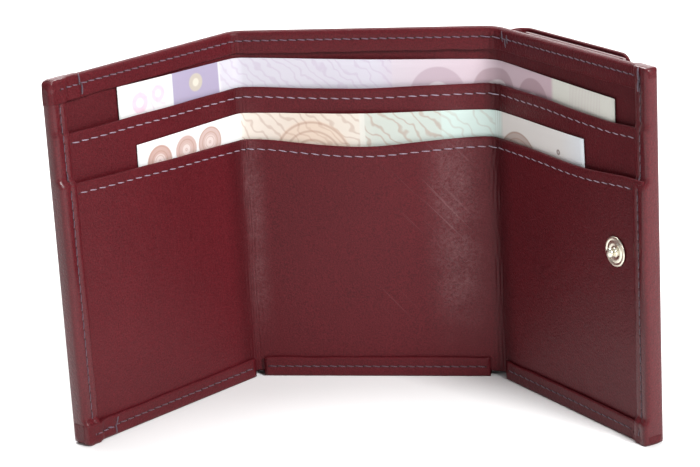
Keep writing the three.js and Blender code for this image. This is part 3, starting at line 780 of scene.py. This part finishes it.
def corner_cap(name, side, top, length, high, r, proud):
    """The hem's end piece, wrapped round the binding at a corner of radius r."""
    edge, inward = (HEIGHT, -1) if top else (0.0, 1)
    inner = edge + inward * high
    rings = []
    for d in np.concatenate([np.linspace(-0.1, 2.6, 12), np.linspace(3.2, length, 14)]):
        front, back = cap_faces(top, d, proud)
        mid = (front + back) / 2
        cut = r - math.sqrt(max(r * r - max(r - max(d, 0.0), 0) ** 2, 0))
        rim = edge + inward * (cut - 0.1)
        over = np.linspace(0, math.pi, 11)
        y_over = mid - (back - front) / 2 * np.sign(np.cos(over)) * np.abs(np.cos(over)) ** 0.55
        z_over = rim + inward * 1.1 * (1 - np.sin(over) ** 0.8)
        up = np.linspace(inner, rim + inward * 1.1, 12)[:-1]
        pull = 0.1 * groove(np.abs(up - edge), HEIGHT - TOP_SEAM)
        soft = 0.08 * wave(d, up, 3.1, 3)
        y = np.concatenate([[front + 0.5, front + 0.12], front + pull[1:] + soft[1:], y_over,
                            (back - pull)[::-1][:-1], [back - 0.12, back - 0.5]])
        z = np.concatenate([[inner, inner + 0.03 * inward], up[1:], z_over, up[::-1][:-1],
                            [inner + 0.03 * inward, inner]])
        shrink = 1 - 0.42 * (1 - min(d + 0.1, 1.3) / 1.3) ** 2
        end = LEFT_END if side < 0 else RIGHT_END
        rings.append(place(end - side * d, mid + (y - mid) * shrink, z))
    cap = solid(name, np.stack(rings), SHELL)
    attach(cap, "left_panel" if side < 0 else "right_panel")


TOP_PROUD, LOW_PROUD = 0.2, 0.12
corner_cap("corner_top_left", -1, True, 10.2, 6.2, 2.2, TOP_PROUD)
corner_cap("corner_bottom_left", -1, False, 10.2, 5.6, 1.4, LOW_PROUD)
LEFT_TOP_FACE = float(cap_faces(True, 10.0, TOP_PROUD)[0])
LEFT_LOW_FACE = float(cap_faces(False, 10.0, LOW_PROUD)[0])
corner_cap("corner_top_right", 1, True, 6.9, 2.4, 0.9, 0.05)
corner_cap("corner_bottom_right", 1, False, 6.9, 2.4, 0.9, 0.05)


# Notes

def note(name, lo, hi, y, bottom, lift, height, centre, side_belly, material, node):
    """A note in two halves, with its print laid out along its length."""
    values = stations(lo, hi, pitch=1.6)
    length = hi - lo

    def ring(s):
        base = bottom + lift * max(0, 1 - (s - lo) / length)

        def front(a, z):
            return y - belly(a, z, centre, side_belly) + 0.10 * wave(a, z, 6.6, 12)

        return sheet_ring(s, front, 0.12, base, base + height, 14)

    halves = whole(name, values, ring, material)
    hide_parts(node)
    for half, side in zip(halves, (-1, 1)):
        s_side = [s for s in values if s * side >= -1e-9]
        count = len(half.data.vertices) // len(s_side)
        along = np.repeat([(s - lo) / length for s in s_side], count)
        z = np.array([v.co.z for v in half.data.vertices]) / MM
        layer = half.data.uv_layers.new(name="UVMap")
        for loop in half.data.loops:
            i = loop.vertex_index
            layer.data[loop.index].uv = (along[i], (z[i] - bottom) / length)


note("rear_note", -HALF - ARC - 39.2, HALF + ARC + 47.2, 0.55, 4, 3.8, 82, 0.7, 0.2,
     REAR_PAPER, "rear_note")
note("front_note", -HALF - ARC - 35.5, HALF + ARC + 36.4, -0.6, 4, 0, 70, 2.0, 0.55,
     FRONT_PAPER, "front_note")


# Stitches on the wallet

def carry_bend():
    def carry(obj):
        bend(obj)
    return carry


def carry_ride(body):
    def carry(obj):
        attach(obj, body)
    return carry


def run_row(name, z_at, y_at, way, pitch, material, lo, hi):
    """A row through all three panels, made in two halves."""
    for side, tag, a, b in ((-1, "left", lo, 0.0), (1, "right", 0.0, hi)):
        count = round(abs(b - a) / pitch) + 1
        stitch_row(
            f"{name}_{tag}", lambda t, a=a, b=b: a + (b - a) * t,
            lambda t, a=a, b=b: np.array([z_at(a + (b - a) * v) for v in t]),
            y_at, count, way, material, carry_bend(),
        )


def wraps(name, places, body):
    """Threads that cross an edge or a strip: each from a lower to an upper place, as (s, y, z) pairs."""
    parts = []
    for low, high in places:
        a, b = place(*low), place(*high)
        normal = place(low[0], low[1] - 1, low[2]) - a
        parts += thread_parts(np.stack([a, b]), np.stack([normal, normal]), pitch_gap=0.02, radius=0.25)
    obj = join_solids(name, parts, DEEP_THREAD)
    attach(obj, body)


def crossing(s, y, z_values, lean):
    """The places of one or more leaning threads, one above another."""
    return [((s + lean, y, a), (s - lean, y, b)) for a, b in zip(z_values, z_values[1:])]


wraps("wraps_top_left", crossing(LEFT_END + 10.2, LEFT_TOP_FACE, (93.2, 95.9), 0.25)
      + crossing(LEFT_END + 10.9, LEFT_TOP_FACE, (90.6, 93.2), 0.1), "left_panel")
wraps("wraps_bottom_left", crossing(LEFT_END + 10.2, LEFT_LOW_FACE, (0.6, 2.9), 0.2)
      + crossing(LEFT_END + 10.9, LEFT_LOW_FACE + 0.2, (2.7, 5.2), -0.3), "left_panel")
wraps("wraps_top_right", crossing(RIGHT_END - 3.3, -0.85, (92.9, 95.9), 0.2)
      + crossing(RIGHT_END - 3.4, -0.85, (90.0, 92.9), 0.05), "right_panel")
fold_end = HALF + ARC
wraps("wraps_fold", crossing(fold_end + 0.9, LIP + 0.05, (92.6, 95.4), 0.3)
      + crossing(fold_end + 2.2, LIP + 0.05, (91.2, 93.6), 0.3)
      + crossing(fold_end + 3.0, LIP + 0.05, (92.4, 94.6), 0.3), "right_panel")

PITCH, POCKET_PITCH = 2.4, 2.95
BINDING_INSIDE = 5.8
run_row("lip_stitches", lambda s: TOP_SEAM, lambda s, z: lip_face(s, z) + 0.06, -1,
        PITCH, DARK_THREAD, LEFT_END + 10.6, RIGHT_END - BINDING_INSIDE)
for tag, top, z_row, proud in (
    ("top", True, TOP_SEAM, TOP_PROUD), ("bottom", False, 2.6, LOW_PROUD),
):
    stitch_row(
        f"corner_stitches_{tag}", lambda t: LEFT_END + 3.6 + 6.2 * t,
        lambda t, z_row=z_row: z_row + 0 * t,
        lambda s, z, top=top, proud=proud: cap_faces(top, s - LEFT_END, proud)[0] + 0.06,
        4, -1, DARK_THREAD, carry_ride("left_panel"),
    )
run_row("top_back_stitches", lambda s: TOP_SEAM, lambda s, z: back_face(s, z) - 0.08, 1,
        PITCH, DARK_THREAD, LEFT_END + 8, RIGHT_END - 8)
for kind in ("front", "divider"):
    run_row(f"{kind}_edge_stitches", lambda s, kind=kind: edge_height(kind, s) - 2.7,
            lambda s, z, kind=kind: pocket_front(kind, s, z) - 0.02, -1, POCKET_PITCH, PALE_THREAD,
            LEFT_END + BINDING_INSIDE, RIGHT_END - BINDING_INSIDE)
for tag, body, lo, hi in HEMS:
    a, b = lo + (6 if tag == "left" else 1.2), hi - (6 if tag == "right" else 1.2)
    for way, face, y_at in (
        (-1, "front", lambda s, z: hem_face(s, z) + 0.05),
        (1, "back", lambda s, z: back_face(s, z) - 0.08),
    ):
        stitch_row(
            f"hem_stitches_{tag}_{face}", lambda t, a=a, b=b: a + (b - a) * t,
            lambda t: LOW_SEAM + 0 * t, y_at, round((b - a) / PITCH) + 1, way,
            DEEP_THREAD, carry_ride(body),
        )
for side, tag, end in SIDES:
    for face, way, inset, y_at in (
        ("front", -1, BINDING_SEAM, lambda s, z, side=side: binding_front(z, side) + 0.1),
        ("back", 1, 4.4, lambda s, z: BINDING_BACK - 0.07),
    ):
        stitch_row(
            f"binding_stitches_{tag}_{face}",
            lambda t, at=end - side * inset: at + 0 * t,
            lambda t: 1.6 + 92.8 * t, y_at, 39, way, DEEP_THREAD, carry_ride(f"{tag}_panel"),
        )


# Coin pocket and flap on the right panel's back

def on_right(u, y, z):
    """Points on the right panel, u from its fold's axis."""
    u, y, z = np.broadcast_arrays(*(np.asarray(v, float) for v in (u, y, z)))
    r = y - RIGHT_AXIS
    x = HALF + r * math.sin(RIGHT_OPEN) + u * math.cos(RIGHT_OPEN)
    return np.stack([x, RIGHT_AXIS + r * math.cos(RIGHT_OPEN) - u * math.sin(RIGHT_OPEN), z], -1)


WALL_FACE, WALL_THICK = BACK + 3.6, 0.8
FLAP_FACE, FLAP_THICK = WALL_FACE + WALL_THICK + 2.6, 0.9
FLAP_BACK = FLAP_FACE + FLAP_THICK
FLAP_SEAT = 2.5
FLAP_START, FLAP_END, FLAP_CORNER = 1.0, 42.0, 3.5
FLAP_RADIUS = (FLAP_BACK - FLAP_SEAT) / 2
FLAP_TURN = math.pi * FLAP_RADIUS
FLAP_AXIS_Y = FLAP_SEAT + FLAP_RADIUS
COIN_LOW, COIN_HIGH = 3.0, 94.5
COIN_SNAP = 34


def coin_depth(u, z):
    """The wall's inner face: flat to the step, then down to the lap. It bellies out at mid height."""
    belly_out = 0.3 * hump((u - 3) / 46) * hump((z - COIN_LOW) / (COIN_HIGH - COIN_LOW))
    return WALL_FACE - 3.4 * step(u, 43.5, 4.2) + belly_out + 0.10 * wave(u, z, 5.5, 9)


def coin_wall_ring(z):
    u = np.concatenate([np.linspace(3.3, 42, 34), np.linspace(43, 52.4, 16)])
    face = coin_depth(u, z)
    back = face + WALL_THICK
    all_u = np.concatenate([[3.02], u, [52.68, 52.7], u[::-1], [3.0]])
    end = [face[-1] + 0.2, back[-1] - 0.2]
    all_y = np.concatenate([[face[0] + 0.25], face, end, back[::-1], [back[0] - 0.25]])
    return on_right(all_u, all_y, z)


wall_z = np.concatenate([[3.0, 3.2, 3.6], np.linspace(4.5, 93, 60), [93.9, 94.3, 94.5]])
wall = solid("coin_pocket_wall", np.stack([coin_wall_ring(z) for z in wall_z]), POCKET)
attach(wall, "right_panel")
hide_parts("coin_wall")


def gusset(name, edge, inward, node):
    """The strip that closes an end of the coin pocket: it dips inward 7 mm and comes out again."""
    near, far, thick = 2.5, WALL_FACE - 0.25, 0.5
    arc = np.linspace(0, math.pi, 9)
    half, mid = (far - near) / 2, (far + near) / 2
    inside = half - thick
    floor_z = edge + inward * (7 - half)
    y = np.concatenate([
        [near], mid - half * np.cos(arc), [far, far - thick], mid + inside * np.cos(arc), [near + thick],
    ])
    z = np.concatenate([
        [edge], floor_z + inward * half * np.sin(arc), [edge, edge],
        floor_z + inward * inside * np.sin(arc), [edge],
    ])
    rings = np.stack([on_right(u, y + 0.05 * wave(u, z, 1.9, 4), z) for u in np.linspace(5.3, 43, 40)])
    obj = solid(name, rings, LINING)
    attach(obj, "right_panel")
    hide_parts(node)


gusset("coin_pocket_top_gusset", COIN_HIGH, -1, "coin_gusset_top")
gusset("coin_pocket_bottom_gusset", COIN_LOW, 1, "coin_gusset_bottom")


def flap_shape(s):
    """The flap's low and high edges at a distance along it, with rounded free corners."""
    d = max(s - (FLAP_END - FLAP_CORNER), 0)
    cut = FLAP_CORNER - math.sqrt(max(FLAP_CORNER ** 2 - d * d, 0))
    return COIN_LOW + cut, COIN_HIGH - cut


def flap_point(s, depth, z):
    """A point on the flap's leather: s from the seam's end round the turn and out along the flap."""
    if s < 0:
        return on_right(FLAP_START - s, FLAP_SEAT + depth, z)
    if s < FLAP_TURN:
        angle = s / FLAP_RADIUS
        r = FLAP_RADIUS - depth
        return on_right(FLAP_START - r * math.sin(angle), FLAP_AXIS_Y - r * math.cos(angle), z)
    return on_right(FLAP_START + s - FLAP_TURN, FLAP_BACK - depth, z)


def flap_ring(s):
    low, high = flap_shape(FLAP_START + s - FLAP_TURN) if s > FLAP_TURN else (COIN_LOW, COIN_HIGH)
    z = np.concatenate([[low + 0.25], np.linspace(low + 0.8, high - 0.8, 30), [high - 0.25]])
    from_edge = np.minimum(z - low, high - z)
    seam_dent = np.where((from_edge < 3.4) & (from_edge > 2.2), 0.03, 0.0)
    outer = seam_dent + 0.10 * wave(s, z, 7.3, 8) * (s > 0)
    rim = [0.25, FLAP_THICK - 0.25]
    z_all = np.concatenate([z, [high, high], z[::-1], [low, low]])
    d_all = np.concatenate([outer, rim, np.full(len(z), FLAP_THICK), rim[::-1]])
    return np.concatenate([flap_point(s, d, v).reshape(1, 3) for d, v in zip(d_all, z_all)])


corner_start = FLAP_TURN + FLAP_END - FLAP_START - FLAP_CORNER
flap_s = np.concatenate([
    np.linspace(-4.0, 0, 5)[:-1], np.linspace(0, FLAP_TURN, 26)[:-1],
    np.linspace(FLAP_TURN, corner_start, 36)[:-1],
    corner_start + FLAP_CORNER * np.sin(np.linspace(0, math.pi / 2 * 0.97, 10)),
])
flap = solid("coin_pocket_flap", np.stack([flap_ring(s) for s in flap_s]), POCKET)
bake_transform(flap)
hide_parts("coin_flap", "coin_flap_seam", "coin_flap_turn")


def right_row(name, u, z, y, body):
    """Stitches at listed places on the right panel's back."""
    points = on_right(u, y + 0.02, z)
    normals = on_right(u, y + 1, z) - on_right(u, y, z)
    stitches(name, points, normals, DARK_THREAD, carry_ride(body))


for name, u, row_z in (
    ("coin_wall_stitches", 50.2, np.linspace(4.5, 93, 38)),
    ("coin_mouth_stitches", 5.6, np.linspace(5, 92.5, 37)),
):
    right_row(name, u, row_z, coin_depth(u, row_z) + WALL_THICK, "right_panel")


def flap_border():
    """The line of the flap's edge stitches: out along the top, down the end and back below."""
    inset, r = 2.8, 1.2
    lo, hi, end = COIN_LOW + inset, COIN_HIGH - inset, FLAP_END - inset
    turns = np.linspace(0, math.pi / 2, 4)[1:-1]
    top = [(u, hi) for u in np.linspace(4.0, end - r, 15)]
    high_corner = [(end - r + r * math.sin(v), hi - r + r * math.cos(v)) for v in turns]
    down = [(end, z) for z in np.linspace(hi - r, lo + r, 36)]
    low_corner = [(end - r + r * math.cos(v), lo + r - r * math.sin(v)) for v in turns]
    low = [(u, lo) for u in np.linspace(end - r, 4.0, 15)]
    return np.array(top + high_corner + down + low_corner + low).T


border_u, border_z = flap_border()
border_s = border_u - FLAP_START + FLAP_TURN
border_y = FLAP_BACK - 0.10 * wave(border_s, border_z, 7.3, 8)
right_row("flap_stitches", border_u, border_z, border_y, "coin_flap")


# Snaps

def turned(name, profile, centre, normal, body, nodes):
    """A lathe piece on a panel: profile holds radii and heights above the centre."""
    normal = normal / np.linalg.norm(normal)
    up = np.array([0.0, 0.0, 1.0])
    across = np.cross(up, normal)
    angle = np.linspace(0, 2 * np.pi, 56, endpoint=False)
    circle = np.cos(angle)[:, None] * across + np.sin(angle)[:, None] * up
    rings = [centre + normal * h + max(r, 1e-4) * circle for r, h in profile]
    obj = solid(name, np.stack(rings), METAL)
    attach(obj, body)
    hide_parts(*nodes)


def rounded(profile):
    """The profile with its corners cut, keeping its ends."""
    pts = [np.array(p, float) for p in profile]
    out = [pts[0]]
    for a, b in zip(pts, pts[1:]):
        out += [a * 0.75 + b * 0.25, a * 0.25 + b * 0.75]
    return out + [pts[-1]]


def stud_profile(post, shank=1.2):
    """A ringed base and a round-headed post, on a shank that goes into the leather."""
    neck = max(post - 1.2, 0.85)
    dome = post - neck - 0.4
    head = [(1.25 * math.cos(a), neck + 0.4 + dome * math.sin(a)) for a in np.linspace(0, math.pi / 2, 9)]
    return [(0, -shank), (1.0, -shank), (1.0, 0.0)] + rounded([
        (1.0, 0.03), (3.7, 0.03), (3.9, 0.18), (3.8, 0.42), (3.5, 0.5), (3.15, 0.46), (2.95, 0.30),
        (2.75, 0.44), (2.3, 0.56), (1.9, 0.52), (1.5, 0.36), (1.15, 0.42), (0.95, 0.7), (0.9, neck),
        (1.12, neck + 0.2), (1.25, neck + 0.4),
    ]) + head[1:]


def socket_ring():
    """The raised ring of a socket, from its rim to its bore."""
    return rounded([
        (4.2, 0.05), (4.4, 0.25), (4.05, 0.55), (3.4, 0.55), (3.0, 0.75),
        (2.8, 1.1), (2.5, 1.3), (2.1, 1.25), (1.9, 0.95),
    ])


def panel_point(side, u, y):
    """A snap's place on a side panel, and the way backward there."""
    s = side * (HALF + ARC + u)
    point = place(s, y, SNAP_HEIGHT)
    return point, place(s, y + 1, SNAP_HEIGHT) - point


stud_y = float(pocket_front("front", HALF + ARC + STUD_AT, SNAP_HEIGHT)) - 0.05
centre, backward = panel_point(1, STUD_AT, stud_y)
turned("closing_stud_piece", stud_profile(2.6), centre, -backward, "right_panel",
       ["closing_stud", "closing_stud_washer"])
centre, backward = panel_point(-1, SOCKET_AT, 2.25)
turned("closing_socket_piece",
       [(0, -0.7), (2.35, -0.7), (2.35, 0.0)] + socket_ring() + [(1.9, -0.3), (1.85, -0.5), (0, -0.5)],
       centre, backward, "left_panel", ["closing_socket"])
centre, backward = panel_point(1, COIN_SNAP, float(coin_depth(COIN_SNAP, SNAP_HEIGHT)) + WALL_THICK)
turned("coin_stud_piece", stud_profile(1.75), centre, backward, "right_panel",
       ["coin_stud", "coin_stud_washer"])
centre, backward = panel_point(1, COIN_SNAP, FLAP_FACE - 0.05)
turned("coin_socket_piece", [(1.15, 0.0)] + socket_ring() + [(1.85, 0.3), (1.2, 0.25), (1.15, 0.1)],
       centre, -backward, "coin_flap", ["coin_socket"])
dome = [(5.0 * math.cos(a), 0.2 + 0.75 * math.sin(a)) for a in np.linspace(0, math.pi / 2, 12)]
centre, backward = panel_point(1, COIN_SNAP, FLAP_BACK - 0.05)
turned("coin_cap_piece", [(0, -1.2), (1.0, -1.2), (1.0, 0.0), (4.7, 0.0), (4.92, 0.07)] + dome,
       centre, backward, "coin_flap", ["coin_cap"])


# Floor, lights and camera

FLOOR_GREY = 0.86
bpy.ops.mesh.primitive_plane_add(size=30, location=(0, 0, 0))
floor = bpy.context.object
floor.name = "floor"
floor.data.materials.append(matt(
    "floor_white", 3.0, (FLOOR_GREY * 0.99,) * 3, (FLOOR_GREY,) * 3,
    Roughness=0.8, Specular_IOR_Level=0.1,
))


def area_light(name, location, target_height, size, power):
    data = bpy.data.lights.new(name, "AREA")
    data.shape = "RECTANGLE"
    data.size, data.size_y = size
    data.energy = power
    obj = bpy.data.objects.new(name, data)
    bpy.context.scene.collection.objects.link(obj)
    obj.location = location
    towards = Vector((0, 0, target_height)) - Vector(location)
    obj.rotation_euler = towards.to_track_quat("-Z", "Y").to_euler()
    return obj


lights = [
    area_light("key", (0.62, -0.58, 0.66), 0.05, (0.30, 0.30), 14.0),
    area_light("fill", (-0.55, -0.75, 0.40), 0.05, (0.6, 0.5), 1.2),
    area_light("top", (-0.10, 0.30, 0.90), 0.05, (0.8, 0.5), 11.0),
    area_light("rim", (-0.15, 1.00, 0.40), 0.08, (1.3, 0.45), 9.0),
]
world = bpy.data.worlds.new("studio")
bpy.context.scene.world = world
world.use_nodes = True
background = world.node_tree.nodes["Background"]
background.inputs["Color"].default_value = (1, 1, 1, 1)
background.inputs["Strength"].default_value = 0.2

camera_data = bpy.data.cameras.new("camera")
# Fitted to the photograph: a focal length of 2391.75 px in a frame 700 px wide
SENSOR = 36
camera_data.lens = 2391.75 / 700 * SENSOR
camera_data.sensor_width = SENSOR
camera_data.dof.use_dof = False
camera = bpy.data.objects.new("camera", camera_data)
bpy.context.scene.collection.objects.link(camera)
az, el, roll = 0.167807, 0.304187, -0.0569376
back = Vector((math.sin(az) * math.cos(el), -math.cos(az) * math.cos(el), math.sin(el)))
right = Vector((math.cos(az), math.sin(az), 0))
up = back.cross(right)
c, s = math.cos(roll), math.sin(roll)
right, up = c * right + s * up, -s * right + c * up
rotation = Matrix((right, up, back)).transposed().to_4x4()
camera.matrix_world = Matrix.Translation(Vector((96.5916, -603.18, 232.1377)) * MM) @ rotation
bpy.context.scene.camera = camera

bpy.context.scene.view_settings.view_transform = "Standard"
